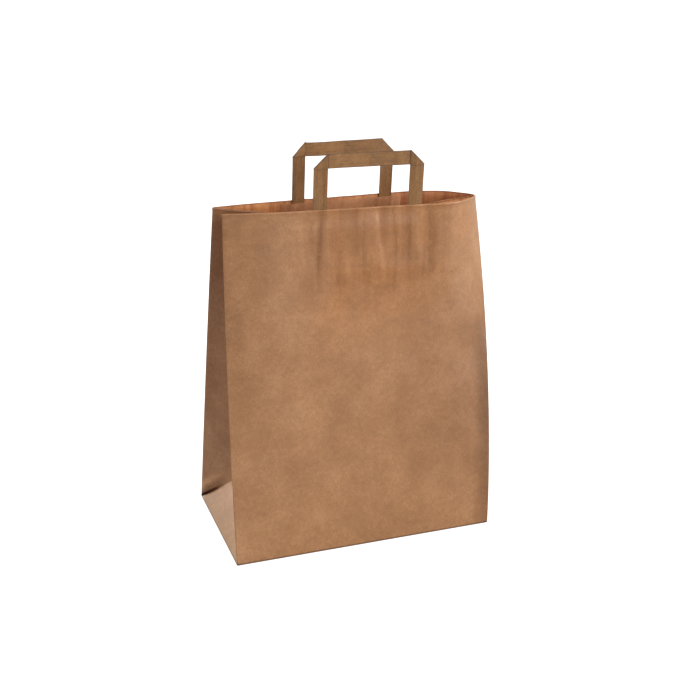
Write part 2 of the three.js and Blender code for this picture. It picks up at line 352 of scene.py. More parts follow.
def leg_steps(side, along, heights):
    """The ridges and hollows that the glued legs and the patch press into a panel."""
    # Out by the folds, a step that lies far off has been passed or not, whatever its slant
    far = 60
    by_folds = 85
    wander = waves(step_wander, along, heights, wave_seed[side])
    level = rise(along, start=-flat_half, run=2 * flat_half)
    out = np.zeros(len(heights))
    for place, step, width, low, high, slant in panel_steps[side]:
        line = place + slant * (bag_height - heights)
        over = rise(along + wander, line - width / 2, width)
        if abs(along - place) > far and abs(along) > by_folds:
            over = 1.0 if along > place else 0.0
        top = 1 if high > bag_height else fall(heights, end=high + 8, run=14)
        out += step * (over - level) * rise(heights, low, run=34) * top
    return out


def right_dip(along, heights):
    """The panel dips beside its right fold, below the closed end of the mouth."""
    deepest = 2.4
    beside = rise(along, start=60, run=84) * fall(along, half_width, run=17)
    return deepest * beside * rise(heights, start=12, run=50) * fall(heights, end=265, run=40)


def panel_relief(side, along, heights):
    """How far the places of one upright line of a panel stand out from the plain folded surface."""
    inside_folds = fall(abs(along), half_width, run=25) * rise(heights, 0, run=30)
    swell = waves(panel_waves, along, heights, wave_seed[side]) * inside_folds
    return leg_steps(side, along, heights) + swell - right_dip(along, heights)


def gusset_relief(sign, across, heights):
    """The gusset's waves, its cross crease and slanting crease, and its hang over the base triangle."""
    inset = half_depth - abs(across)
    inside_folds = rise(inset, 0, run=16) * fall(inset, half_depth, run=16) * rise(heights, inset, run=25)
    cross_crease = ridge(heights, middle=185, width=4) - 0.8 * ridge(heights, middle=176, width=5)
    slant_crease = ridge(heights, middle=62 + 0.7 * across, width=6)
    creases = 0.8 * (cross_crease + slant_crease)
    swell = waves(gusset_waves, across, heights, wave_seed[sign]) + creases
    above = heights - inset
    beside = rise(across, start=35, run=30) * fall(across, half_depth, run=8)
    overhang = 2.2 * ridge(above, middle=13, width=7) - 2.5 * ridge(above, middle=0, width=3.5)
    return swell * inside_folds + overhang * beside


def lip(height):
    """The cut edge of the mouth is pressed out into a fine bead."""
    bead = 0.85
    below = bag_height - height
    return bead * fall(below, end=4.2, run=2.9) * (1 - 0.9 * fall(below, end=1.3, run=1.3))


def panel_surface(side, along, height):
    """A point on the outside of a panel and the way it faces, for what is glued to it."""
    heights = np.array([height - 1, height, height + 1], float)
    left = panel_column(side, along - 1, heights)[1]
    right = panel_column(side, along + 1, heights)[1]
    column = panel_column(side, along, heights)
    out = np.cross(right - left, column[2] - column[0]) * -facing(side)
    out /= np.linalg.norm(out)
    relief = panel_relief(side, along, heights[1:2])[0]
    return column[1] + out * relief, out


# Making the meshes


def only(obj):
    bpy.ops.object.select_all(action="DESELECT")
    obj.select_set(True)
    bpy.context.view_layer.objects.active = obj


def lay_out(name, across, up):
    """A flat sheet with a line of points at each place across and up, and each point's line numbers."""
    bpy.ops.object.select_all(action="DESELECT")
    bpy.ops.mesh.primitive_grid_add(x_subdivisions=len(across) - 1, y_subdivisions=len(up) - 1, size=2)
    sheet = bpy.context.object
    sheet.name = sheet.data.name = name
    count = len(sheet.data.vertices)
    places = np.empty(count * 3)
    sheet.data.vertices.foreach_get("co", places)
    places = places.reshape(count, 3)
    column = np.rint((places[:, 0] + 1) / 2 * (len(across) - 1)).astype(int)
    row = np.rint((places[:, 1] + 1) / 2 * (len(up) - 1)).astype(int)
    while sheet.data.uv_layers:
        sheet.data.uv_layers.remove(sheet.data.uv_layers[0])
    sheet.data.uv_layers.new(name="sheet")
    set_sheet_map(sheet, np.asarray(across)[column], np.asarray(up)[row])
    return sheet, column, row


def set_sheet_map(sheet, across, up):
    """Gives each point its place on the flat sheet, in metres, as the sheet's own map."""
    corners = np.empty(len(sheet.data.loops), int)
    sheet.data.loops.foreach_get("vertex_index", corners)
    flat = np.column_stack([across, up]) * mm
    sheet.data.uv_layers["sheet"].data.foreach_set("uv", flat[corners].ravel())


def fold_up(sheet, column, row, places):
    """Moves the points of a flat sheet to their folded places, given by column and row."""
    sheet.data.vertices.foreach_set("co", (places[column, row] * mm).ravel())
    sheet.data.update()


def thicken(obj, thickness, offset, **settings):
    """Gives a sheet its thickness, on one side of it or on both."""
    only(obj)
    modifier = obj.modifiers.new("Thickness", "SOLIDIFY")
    modifier.thickness = thickness * mm
    modifier.offset = offset
    for name, value in settings.items():
        setattr(modifier, name, value)
    bpy.ops.object.modifier_apply(modifier=modifier.name)


def smooth_up_to(obj, degrees):
    """Shades a mesh smoothly, except over edges that are sharper than this."""
    only(obj)
    bpy.ops.object.shade_smooth_by_angle(angle=math.radians(degrees))


def facing_ways(places):
    """The outward direction at each point of a grid of places."""
    across = np.gradient(places, axis=0)
    up = np.gradient(places, axis=1)
    out = np.cross(across, up)
    return out / np.maximum(np.linalg.norm(out, axis=2, keepdims=True), 1e-9)


def lines_between_folds(half, step, count):
    """Places across a face at even steps, with finer ones beside both of its folds."""
    even = np.linspace(-half + step, half - step, count).tolist()
    fine = [half - n for n in near_fold]
    return sorted([*even, *fine, *[-f for f in fine]])


def bag_columns():
    """Each upright line of the sheet, from its inner seam edge round to its outer one."""
    panel = [-half_width, *lines_between_folds(half_width, spacing, 99), half_width]
    gusset = lines_between_folds(half_depth, gusset_spacing, 51)
    columns = [("back", along, 0) for along in reversed(panel) if along <= seam_to]
    columns += [(-1, across, 0) for across in reversed(gusset)]
    columns += [("front", along, 0) for along in panel]
    columns += [(1, across, 0) for across in gusset]
    columns += [("back", along, 1) for along in reversed(panel) if along >= seam_from - 1]
    return columns


def bag_rows():
    """Each level line of the sheet, from the end of the base flap up to the rim."""
    under = [-flap_reach, *[-spacing * n for n in range(29, 0, -1)], *[-n for n in reversed(near_fold)]]
    low = [0, *near_fold, *[gusset_spacing * n for n in range(1, 27)]]
    high = np.linspace(half_depth + spacing, bag_height - spacing, 78).tolist()
    return np.array([*under, *low, *high, *[bag_height - n for n in near_rim]], float)


def flat_places(columns):
    """Where each upright line lies across the laid-out sheet."""
    flat = [0]
    for before, this in zip(columns, columns[1:]):
        same_face = before[0] == this[0]
        flat.append(flat[-1] + (abs(this[1] - before[1]) if same_face else near_fold[0]))
    front_fold = columns.index(("front", -half_width, 0))
    return [f - flat[front_fold] - half_width for f in flat]


def sheet_column(region, place, lap, heights):
    """The points of one upright line of the sheet, and how far each stands out from the plain fold."""
    above_base = heights > 0
    if region not in ("front", "back"):
        points = gusset_column(region, place, heights)
        return points, gusset_relief(region, place, heights) * above_base + lip(heights)
    relief = panel_relief(region, place, heights) * above_base + lip(heights)
    if region == "back":
        # The seam's inner ply steps in just before the outer one laps over it
        before_lap = 5
        tucked = half_width - abs(place) < -heights
        into_seam = ply_step * float(rise(place, start=seam_from - before_lap, run=4))
        relief += np.where(tucked, into_seam * lap, into_seam * (lap - 1))
    return panel_column(region, place, heights), relief


def round_folds(places, columns, heights):
    """Eases the points on the upright folds and on the fold round the base."""
    rounded = places.copy()
    for i in range(1, len(columns) - 1):
        if columns[i][0] in ("front", "back") and abs(columns[i][1]) == half_width:
            rounded[i] = places[i] / 2 + (places[i - 1] + places[i + 1]) / 4
    base = list(heights).index(0)
    rounded[:, base] = places[:, base] / 2 + (places[:, base - 1] + places[:, base + 1]) / 4
    return rounded


def crease_diagonals(body, columns, heights, column, row):
    """Splits the sheet's squares along the 45 degree creases, so that it folds on them cleanly."""
    on_crease = np.zeros((len(columns), len(heights)), bool)
    for i, (region, place, _) in enumerate(columns):
        if region in ("front", "back"):
            on_crease[i] = (heights <= 0) & (abs(half_width - abs(place) + heights) < 0.01)
        else:
            on_crease[i] = (heights >= 0) & (abs(half_depth - abs(place) - heights) < 0.01)
    only(body)
    bpy.ops.object.mode_set(mode="EDIT")
    bpy.ops.mesh.select_mode(type="VERT")
    bpy.ops.mesh.select_all(action="DESELECT")
    bpy.ops.object.mode_set(mode="OBJECT")
    body.data.vertices.foreach_set("select", on_crease[column, row])
    bpy.ops.object.mode_set(mode="EDIT")
    bpy.ops.mesh.vert_connect()
    bpy.ops.object.mode_set(mode="OBJECT")


def press_on_ground(body):
    """Nothing goes below the surface that the bag stands on."""
    places = np.empty(len(body.data.vertices) * 3)
    body.data.vertices.foreach_get("co", places)
    places[2::3] = np.maximum(places[2::3], 0)
    body.data.vertices.foreach_set("co", places)


def make_body(outside, inside):
    """The one sheet of the bag: laid out, creased, folded round and under, and given its thickness."""
    columns = bag_columns()
    heights = bag_rows()
    lines = [sheet_column(*column, heights) for column in columns]
    places = np.array([points for points, _ in lines])
    relief = np.array([stand for _, stand in lines])
    places += facing_ways(places) * relief[:, :, None]
    body, column, row = lay_out("bag", flat_places(columns), heights)
    crease_diagonals(body, columns, heights, column, row)
    fold_up(body, column, row, round_folds(places, columns, heights))
    body.data.materials.append(outside)
    body.data.materials.append(inside)
    thicken(body, paper, offset=-1, use_even_offset=False, material_offset=1)
    press_on_ground(body)
    smooth_up_to(body, degrees=28)
    return body


def ply_place(side, along, height, depth):
    """Where a ply inside the bag lies: on the panel below the rim, and standing free above it."""
    if height <= 0:
        place, out = panel_surface(side, along, bag_height + height)
        return place - out * (depth + paper)
    place, out = panel_surface(side, along, bag_height)
    lean = math.radians(handle_lean[side])
    up = np.array([0, math.sin(lean), math.cos(lean)])
    left = rim_point(side, along - 1)
    right = rim_point(side, along + 1)
    free = np.cross(right - left, up) * -facing(side)
    free /= np.linalg.norm(free)
    share = float(rise(height, 0, run=12))
    facing_out = out * (1 - share) + free * share
    return place + up * height - facing_out * (depth + paper)


def tape_lines():
    """The lines across the tape, from leg end to leg end: each one's side, stretch and place in it."""
    leg_count = 46
    grip_count = 24
    near_mitre = [mitre_reach, 0.9, 0.45, 0.3, 0.15, 0, -0.15, -0.3, -0.45, -0.9, -mitre_reach]
    half = [("leg", n / leg_count) for n in range(leg_count)]
    half += [("mitre", past) for past in near_mitre]
    half += [("grip", n / grip_count) for n in range(grip_count - 1, 0, -1)]
    left = [(-1, *line) for line in half]
    right = [(1, *line) for line in reversed(half)]
    return [*left, (1, "grip", 0), *right]


def tape_point(side, sign, stretch, value, inward):
    """How far along the tape a point is from the grip's middle, and its folded place."""
    leg_end = handle_rise[side] - handle_height
    grip_low = handle_rise[side] - tape_width
    corner = handle_half - inward
    leg_length = handle_half + grip_low - leg_end - corner - mitre_reach
    runs = {
        "leg": corner + mitre_reach + leg_length * (1 - value),
        "mitre": corner + value,
        "grip": (corner - mitre_reach) * value,
    }
    run = runs[stretch]
    past = run - corner
    turn = float(np.clip(past / mitre_radius, -1, 1)) * math.pi / 2
    bulge = mitre_bulge * math.cos(turn) if abs(past) < mitre_radius else 0
    aside = min(run, corner) + bulge
    height = grip_low + inward - max(past, 0) + bulge
    wave = noise.noise(Vector((sign * aside / 40, height / 28, tape_seed[side])))
    bow = 0 if stretch == "grip" else math.sin(height / 60 * math.pi)
    free = float(rise(height, start=-6, run=20)) if stretch == "leg" else 1
    depth = (leg_depth + grip_depth) / 2 - (grip_depth - leg_depth) / 2 * math.sin(turn)
    depth += tape_wave * (wave + bow) * free
    return sign * run, ply_place(side, handle_shift + sign * aside, height, depth)


def make_handle(side, material):
    """The tape is laid out flat with its lengthwise plies, and then folded at both mitred corners."""
    across = [0, 0.25, 0.8, 2, 3.8, 4.1, 4.6, 6.5, 8.5, 10.5, 12.5, 14.3, 15.0, 15.3, tape_width]
    lines = tape_lines()
    if side == "front":
        across.reverse()
    points = [[tape_point(side, *line, inward) for line in lines] for inward in across]
    tape_at = np.array([[run for run, _ in strip] for strip in points])
    places = np.array([[place for _, place in strip] for strip in points])
    tape, column, row = lay_out(side + "_tape", across, list(range(len(lines))))
    tape.data.materials.append(material)
    fold_up(tape, column, row, places)
    set_sheet_map(tape, np.asarray(across)[column], tape_at[column, row])
    thicken(tape, tape_thickness, offset=0, use_even_offset=False)
    smooth_up_to(tape, degrees=35)
    return tape


def make_patch(side, material):
    """A rectangle of paper pressed over both legs."""
    shift = patch_shift[side]
    across = np.linspace(shift - patch_half, shift + patch_half, 91).tolist()
    up = np.linspace(-patch_top - patch_height, -patch_top, 34).tolist()
    clearance = 0.2
    crinkle = 0.12
    over_leg = leg_depth + tape_thickness / 2 + clearance
    legs = [handle_shift + sign * (handle_half - tape_width / 2) for sign in (-1, 1)]
    places = np.empty((len(across), len(up), 3))
    for i, along in enumerate(across):
        to_leg = min(abs(along - leg) for leg in legs)
        pressed = float(fall(to_leg, end=tape_width / 2 + 3.5, run=3))
        for j, height in enumerate(up):
            depth = patch_depth + (over_leg - patch_depth) * pressed
            depth += crinkle * noise.noise(Vector((along / 14, height / 22, 33)))
            places[i, j] = ply_place(side, along, height, max(depth, clearance))
    patch, column, row = lay_out(side + "_patch", across, up)
    patch.data.materials.append(material)
    fold_up(patch, column, row, places)
    thicken(patch, paper, offset=-facing(side), use_even_offset=False)
    smooth_up_to(patch, degrees=35)
    return patch


# Node groups that the papers share


def add(nodes, kind, **settings):
    node = nodes.new(kind)
    for name, value in settings.items():
        setattr(node, name, value)
    return node


def new_group(name, inputs, outputs):
    group = bpy.data.node_groups.new(name, "ShaderNodeTree")
    for label, kind, value in inputs:
        socket = group.interface.new_socket(name=label, in_out="INPUT", socket_type=kind)
        if value is not None:
            socket.default_value = value
    for label, kind in outputs:
        group.interface.new_socket(name=label, in_out="OUTPUT", socket_type=kind)
    return group, group.nodes.new("NodeGroupInput"), group.nodes.new("NodeGroupOutput")


def math_node(tree, operation, first, second=None, clamp=False):
    node = add(tree.nodes, "ShaderNodeMath", operation=operation, use_clamp=clamp)
    for socket, value in zip(node.inputs, (first, second)):
        if isinstance(value, (int, float)):
            socket.default_value = value
        elif value is not None:
            tree.links.new(value, socket)
    return node.outputs[0]


def vector_math(tree, operation, first, second):
    node = add(tree.nodes, "ShaderNodeVectorMath", operation=operation)
    for socket, value in zip(node.inputs, (first, second)):
        if isinstance(value, tuple):
            socket.default_value = value
        else:
            tree.links.new(value, socket)
    return node.outputs["Value" if operation in ("DISTANCE", "DOT_PRODUCT") else "Vector"]


def noise_at(tree, vector, scale, detail, roughness=0.5):
    node = add(tree.nodes, "ShaderNodeTexNoise")
    for label, value in (("Scale", scale), ("Detail", detail), ("Roughness", roughness)):
        if isinstance(value, (int, float)):
            node.inputs[label].default_value = value
        else:
            tree.links.new(value, node.inputs[label])
    tree.links.new(vector, node.inputs["Vector"])
    return node.outputs["Fac"]


def build_pulp():
    """Kraft pulp: cloudy formation, fibres both ways and broad mottling."""
    group, inlet, outlet = new_group(
        "kraft_pulp",
        [("Sheet", "NodeSocketVector", None)],
        [("Tone", "NodeSocketFloat"), ("Warmth", "NodeSocketFloat"), ("Height", "NodeSocketFloat")],
    )
    sheet = inlet.outputs["Sheet"]
    fibres = [
        noise_at(group, vector_math(group, "MULTIPLY", sheet, ways), 1, detail=2)
        for ways in ((760, 240, 1), (240, 760, 1))
    ]
    layers = [
        (noise_at(group, sheet, 14, detail=1), 0.42),
        (noise_at(group, sheet, 40, detail=3), 0.45),
        (noise_at(group, sheet, 150, detail=4, roughness=0.6), 0.42),
        (fibres[0], 0.42),
        (fibres[1], 0.34),
    ]
    tone = 0.5
    for layer, weight in layers:
        around_zero = math_node(group, "SUBTRACT", layer, 0.5)
        tone = math_node(group, "ADD", math_node(group, "MULTIPLY", around_zero, weight), tone)
    warmth = noise_at(group, vector_math(group, "MULTIPLY", sheet, (1, 1.6, 1)), 30, detail=3)
    fuzz = noise_at(group, vector_math(group, "MULTIPLY", sheet, (1500, 600, 1)), 1, detail=2)
    group.links.new(tone, outlet.inputs["Tone"])
    group.links.new(warmth, outlet.inputs["Warmth"])
    group.links.new(math_node(group, "ADD", fuzz, fibres[0]), outlet.inputs["Height"])
    return group


def build_streaks():
    """Streaks up and down the paper, where noise stretched that way is above a level."""
    group, inlet, outlet = new_group(
        "paper_streaks",
        [
            ("Sheet", "NodeSocketVector", None),
            ("Fineness Across", "NodeSocketFloat", 100),
            ("Fineness Along", "NodeSocketFloat", 10),
            ("Detail", "NodeSocketFloat", 3),
            ("Level", "NodeSocketFloat", 0.45),
            ("Contrast", "NodeSocketFloat", 4),
        ],
        [("Mask", "NodeSocketFloat")],
    )
    get = inlet.outputs
    fineness = add(group.nodes, "ShaderNodeCombineXYZ")
    group.links.new(get["Fineness Across"], fineness.inputs["X"])
    group.links.new(get["Fineness Along"], fineness.inputs["Y"])
    stretched = vector_math(group, "MULTIPLY", get["Sheet"], fineness.outputs[0])
    above = math_node(group, "SUBTRACT", noise_at(group, stretched, 1, get["Detail"]), get["Level"])
    mask = math_node(group, "MULTIPLY", above, get["Contrast"], clamp=True)
    group.links.new(mask, outlet.inputs["Mask"])
    return group


def build_band():
    """A soft-edged band: 1 within its half width of its centre, and 0 outside."""
    group, inlet, outlet = new_group(
        "soft_band",
        [
            ("Value", "NodeSocketFloat", 0),
            ("Centre", "NodeSocketFloat", 0),
            ("Half Width", "NodeSocketFloat", 0.01),
            ("Softness", "NodeSocketFloat", 0.001),
        ],
        [("Mask", "NodeSocketFloat")],
    )
    apart = math_node(group, "SUBTRACT", inlet.outputs["Value"], inlet.outputs["Centre"])
    apart = math_node(group, "ABSOLUTE", apart)
    within = math_node(group, "SUBTRACT", inlet.outputs["Half Width"], apart)
    share = math_node(group, "DIVIDE", within, inlet.outputs["Softness"])
    mask = math_node(group, "ADD", share, 0.5, clamp=True)
    group.links.new(mask, outlet.inputs["Mask"])
    return group


def build_crease():
    """A crisp step in the sheet's height along a line that runs up the panel, given in metres."""
    group, inlet, outlet = new_group(
        "pressed_crease",
        [
            ("Across", "NodeSocketFloat", 0),
            ("Up", "NodeSocketFloat", 0),
            ("Place", "NodeSocketFloat", 0),
            ("Slant", "NodeSocketFloat", 0),
            ("Width", "NodeSocketFloat", 0.002),
            ("Low", "NodeSocketFloat", 0.3),
            ("High", "NodeSocketFloat", 0.4),
            ("Step", "NodeSocketFloat", 0.0003),
        ],
        [("Height", "NodeSocketFloat")],
    )
    get = inlet.outputs
    fade_in = 30 * mm
    fade_out = 8 * mm
    down = math_node(group, "SUBTRACT", bag_height * mm, get["Up"])
    line = math_node(group, "ADD", get["Place"], math_node(group, "MULTIPLY", down, get["Slant"]))
    apart = math_node(group, "DIVIDE", math_node(group, "SUBTRACT", get["Across"], line), get["Width"])
    share = math_node(group, "ADD", apart, 0.5, clamp=True)
    eased = math_node(group, "SUBTRACT", 3, math_node(group, "MULTIPLY", share, 2))
    eased = math_node(group, "MULTIPLY", math_node(group, "MULTIPLY", share, share), eased)
    above = math_node(group, "SUBTRACT", get["Up"], get["Low"])
    above = math_node(group, "DIVIDE", above, fade_in, clamp=True)
    below = math_node(group, "SUBTRACT", get["High"], get["Up"])
    below = math_node(group, "ADD", math_node(group, "DIVIDE", below, fade_out), 1, clamp=True)
    height = math_node(group, "MULTIPLY", math_node(group, "MULTIPLY", eased, above), below)
    group.links.new(math_node(group, "MULTIPLY", height, get["Step"]), outlet.inputs["Height"])
    return group


pulp = build_pulp()
streaks = build_streaks()
band = build_band()
crease = build_crease()


# The papers


def sheet_coordinates(material):
    node = add(material.node_tree.nodes, "ShaderNodeUVMap", uv_map="sheet")
    return node.outputs["UV"]


def part_of(material, vector, axis):
    node = add(material.node_tree.nodes, "ShaderNodeSeparateXYZ")
    material.node_tree.links.new(vector, node.inputs[0])
    return node.outputs[axis]


def banded(material, value, centre, half, soft):
    """A soft band's mask, given in millimetres."""
    tree = material.node_tree
    node = add(tree.nodes, "ShaderNodeGroup", node_tree=band)
    tree.links.new(value, node.inputs["Value"])
    node.inputs["Centre"].default_value = centre * mm
    node.inputs["Half Width"].default_value = half * mm
    node.inputs["Softness"].default_value = soft * mm
    return node.outputs["Mask"]


def both(material, first, second):
    return math_node(material.node_tree, "MULTIPLY", first, second)


def soft_box(material, across, up, middle, half, soft):
    """A soft rectangle's mask on the laid-out sheet, each value given across and up."""
    bands = [banded(material, *values) for values in zip((across, up), middle, half, soft)]
    return both(material, *bands)


def streaked(material, sheet, across, along, detail, level, contrast):
    tree = material.node_tree
    node = add(tree.nodes, "ShaderNodeGroup", node_tree=streaks)
    tree.links.new(sheet, node.inputs["Sheet"])
    labels = ("Fineness Across", "Fineness Along", "Detail", "Level", "Contrast")
    for label, value in zip(labels, (across, along, detail, level, contrast)):
        node.inputs[label].default_value = value
    return node.outputs["Mask"]


def ramp(material, value, stops):
    tree = material.node_tree
    node = add(tree.nodes, "ShaderNodeValToRGB")
    elements = node.color_ramp.elements
    while len(elements) < len(stops):
        elements.new(0.5)
    for element, (place, colour) in zip(elements, stops):
        element.position = place
        element.color = (*colour, 1)
    tree.links.new(value, node.inputs["Fac"])
    return node.outputs["Color"]


def mixed(material, share, first, second, blend="MIX"):
    tree = material.node_tree
    node = add(tree.nodes, "ShaderNodeMix", data_type="RGBA", blend_type=blend)
    tree.links.new(share, node.inputs[0])
    tree.links.new(first, node.inputs[6])
    node.inputs[7].default_value = (*second, 1)
    return node.outputs[2]


def shaded(material, mask, colour, tint):
    """Multiplies a colour by a tint where a mask is 1."""
    return mixed(material, mask, colour, tint, "MULTIPLY")


def coloured(material, colour):
    tree = material.node_tree
    tree.links.new(colour, tree.nodes["Principled BSDF"].inputs["Base Color"])
    return material


def kraft(name, dark, middle, light, roughness, bump):
    """An uncoated brown kraft paper, whose colours run from dark to light as its pulp does."""
    material = bpy.data.materials.new(name)
    material.use_nodes = True
    tree = material.node_tree
    shader = tree.nodes["Principled BSDF"]
    grain = add(tree.nodes, "ShaderNodeGroup", node_tree=pulp)
    sheet = sheet_coordinates(material)
    tree.links.new(sheet, grain.inputs["Sheet"])
    colour = ramp(material, grain.outputs["Tone"], [(0.32, dark), (0.5, middle), (0.68, light)])
    warmer = (1.08, 0.92, 0.78)
    warm = tuple(c * w for c, w in zip(middle, warmer))
    warm_share = 0.35
    warmth = math_node(tree, "MULTIPLY", grain.outputs["Warmth"], warm_share)
    colour = mixed(material, warmth, colour, warm)
    relief = add(tree.nodes, "ShaderNodeBump")
    relief.inputs["Strength"].default_value = bump
    relief.inputs["Distance"].default_value = 0.4 * mm
    tree.links.new(grain.outputs["Height"], relief.inputs["Height"])
    tree.links.new(relief.outputs["Normal"], shader.inputs["Normal"])
    shader.inputs["Roughness"].default_value = roughness
    shader.inputs["Specular IOR Level"].default_value = 0.5
    return coloured(material, colour), sheet, colour, relief


def painted_show_through(material, colour, sheet):
    """What lies glued behind a panel shows through it: the patch and both legs as painted shade of the light
    they hold back, with their pressure marks, and the damp of the glue.
    """
    across = part_of(material, sheet, 0)
    up = part_of(material, sheet, 1)
    patch_middle = bag_height - patch_top - patch_height / 2
    # Painted shade where the patch behind holds back light through the panel, with its pressure mark
    patch = soft_box(material, across, up, (0, patch_middle), (patch_half, patch_height / 2), (3, 4))
    colour = shaded(material, patch, colour, (0.965, 0.955, 0.94))
    # Painted shade where each leg behind holds back light through the panel, with its pressure mark
    for sign in (-1, 1):
        middle = handle_shift + sign * (handle_half - tape_width / 2)
        leg = soft_box(material, across, up, (middle, 370), (tape_width / 2, 34), (2.5, 6))
        colour = shaded(material, leg, colour, (0.92, 0.93, 0.92))
    streaky = streaked(material, sheet, across=75, along=6, detail=2, level=0.44, contrast=4)
    damp = soft_box(material, across, up, (10, 360), (80, 55), (30, 35))
    colour = shaded(material, both(material, streaky, damp), colour, (0.76, 0.66, 0.5))
    glue = soft_box(material, across, up, (10, 345), (75, 85), (60, 70))
    return shaded(material, glue, colour, (0.98, 0.88, 0.7))


def pressed_creases(material, across, up, side):
    """The crisp creases beside the glued legs, as a height."""
    tree = material.node_tree
    height = 0
    for place, step, width, low, high, slant in panel_steps[side]:
        if abs(slant) > crisp_slant:
            continue
        line = add(tree.nodes, "ShaderNodeGroup", node_tree=crease)
        tree.links.new(across, line.inputs["Across"])
        tree.links.new(up, line.inputs["Up"])
        sizes = (place, width * crisp_width, low, high, step * crisp_height)
        for label, size in zip(("Place", "Width", "Low", "High", "Step"), sizes):
            line.inputs[label].default_value = size * mm
        line.inputs["Slant"].default_value = slant
        height = math_node(tree, "ADD", line.outputs["Height"], height)
    return height


def base_triangle(material, colour, across, up):
    """Tints the base triangle below each gusset, darker towards the bottom, and paints the shadow in the
    slit under the gusset's overhang.
    """
    tree = material.node_tree
    past_crease = math_node(tree, "ADD", across, (half_width + half_depth) * mm)
    from_crease = math_node(tree, "ABSOLUTE", past_crease)
    inset = math_node(tree, "SUBTRACT", half_depth * mm, from_crease)
    above_fold = math_node(tree, "SUBTRACT", up, inset)
    triangle = banded(material, above_fold, -60, 60, 1)
    triangle = both(material, triangle, banded(material, from_crease, 0, half_depth, 1))
    colour = shaded(material, triangle, colour, (0.98, 1.0, 0.94))
    low = both(material, triangle, banded(material, up, 0, 20, 35))
    colour = shaded(material, low, colour, (0.86, 0.9, 0.82))
    # Painted shadow in the slit under the gusset's overhang, and the darkest painted shadow at its deep end
    slit_shadow = both(material, banded(material, above_fold, 1, 2, 2), banded(material, inset, 12, 18, 14))
    colour = shaded(material, slit_shadow, colour, (0.4, 0.25, 0.16))
    deepest = both(material, slit_shadow, banded(material, inset, 0, 16, 16))
    return shaded(material, deepest, colour, (0.2, 0.09, 0.05)), slit_shadow


def make_sheet():
    """The bag's outside: crisp creases, show-through as painted shade, a painted sheen, painted shade along
    its folds and shaded sides, painted shadow in the slits, and one speck.
    """
    roughness = 0.42
    material, sheet, colour, grain = kraft(
        "kraft_sheet", (0.27, 0.129, 0.053), (0.34, 0.165, 0.07), (0.42, 0.217, 0.1), roughness, bump=0.25
    )
    tree = material.node_tree
    across = part_of(material, sheet, 0)
    up = part_of(material, sheet, 1)
    wander = math_node(tree, "SUBTRACT", noise_at(tree, sheet, 35, detail=2), 0.5)
    wander = math_node(tree, "MULTIPLY", wander, 6 * mm)
    heights = []
    for side, centre in (("front", 0), ("back", back_centre)):
        own = vector_math(tree, "SUBTRACT", sheet, (centre * mm, 0, 0))
        colour = painted_show_through(material, colour, own)
        wandered = math_node(tree, "ADD", part_of(material, own, 0), wander)
        heights.append(pressed_creases(material, wandered, up, side))
    creases = add(tree.nodes, "ShaderNodeBump")
    creases.inputs["Distance"].default_value = 1.0
    tree.links.new(math_node(tree, "ADD", *heights), creases.inputs["Height"])
    tree.links.new(creases.outputs["Normal"], grain.inputs["Normal"])
    # Paints a sheen on the upper right, and shade on the right side, the gusset and the fold by the base
    # triangle
    for middle, half, soft, tint in painted_light_and_shade.values():
        colour = shaded(material, soft_box(material, across, up, middle, half, soft), colour, tint)
    # Painted shade along the cut end of the base flap
    colour = shaded(material, banded(material, up, -flap_reach, 0.9, 0.6), colour, (0.55, 0.5, 0.45))
    # Painted shade along the fold round the base, where the bag meets the floor
    colour = shaded(material, banded(material, up, 0, 1.5, 1.2), colour, (0.5, 0.47, 0.43))
    colour, slit_shadow = base_triangle(material, colour, across, up)
    from_speck = vector_math(tree, "DISTANCE", sheet, (100 * mm, 321 * mm, 0))
    colour = shaded(material, banded(material, from_speck, 0, 1.1, 0.7), colour, (0.6, 0.55, 0.5))
    dull = math_node(tree, "ADD", math_node(tree, "MULTIPLY", slit_shadow, 0.5), roughness)
    tree.links.new(dull, tree.nodes["Principled BSDF"].inputs["Roughness"])
    return coloured(material, colour)


def make_tape_paper():
    """The handles' paper: streaked, with painted shade along its edges and folds, painted shadow where one
    ply crosses another, and a fine painted shade line where its last ply ends.
    """
    material, sheet, colour, _ = kraft(
        "kraft_tape", (0.155, 0.07, 0.016), (0.225, 0.102, 0.025), (0.29, 0.14, 0.04), 0.5, bump=0.3
    )
    tree = material.node_tree
    across = part_of(material, sheet, 0)
    streaky = streaked(material, sheet, across=900, along=25, detail=3, level=0.47, contrast=4)
    colour = shaded(material, streaky, colour, (0.72, 0.68, 0.62))
    # Painted shade along both long edges of the tape
    from_middle = math_node(tree, "ABSOLUTE", math_node(tree, "SUBTRACT", across, tape_width / 2 * mm))
    edge = banded(material, from_middle, tape_width / 2, 0.55, 0.5)
    colour = shaded(material, edge, colour, (0.5, 0.44, 0.38))
    from_top = math_node(tree, "ABSOLUTE", part_of(material, sheet, 1))
    # Painted shade along the mitred folds at the corners
    mitre = banded(material, math_node(tree, "ADD", from_top, across), handle_half, 0.7, 0.8)
    colour = shaded(material, mitre, colour, (0.55, 0.5, 0.45))
    # Painted shadow lines where the plies of grip and leg cross
    for place in (handle_half - tape_width - 0.4, handle_half + 0.8):
        crossing_shadow = banded(material, from_top, place, 0.5, 1.2)
        colour = shaded(material, crossing_shadow, colour, (0.68, 0.6, 0.52))
    # Painted shade line where the last ply ends
    last_ply_shade = banded(material, across, 4.1, 0.3, 0.4)
    return coloured(material, shaded(material, last_ply_shade, colour, (0.75, 0.72, 0.68)))


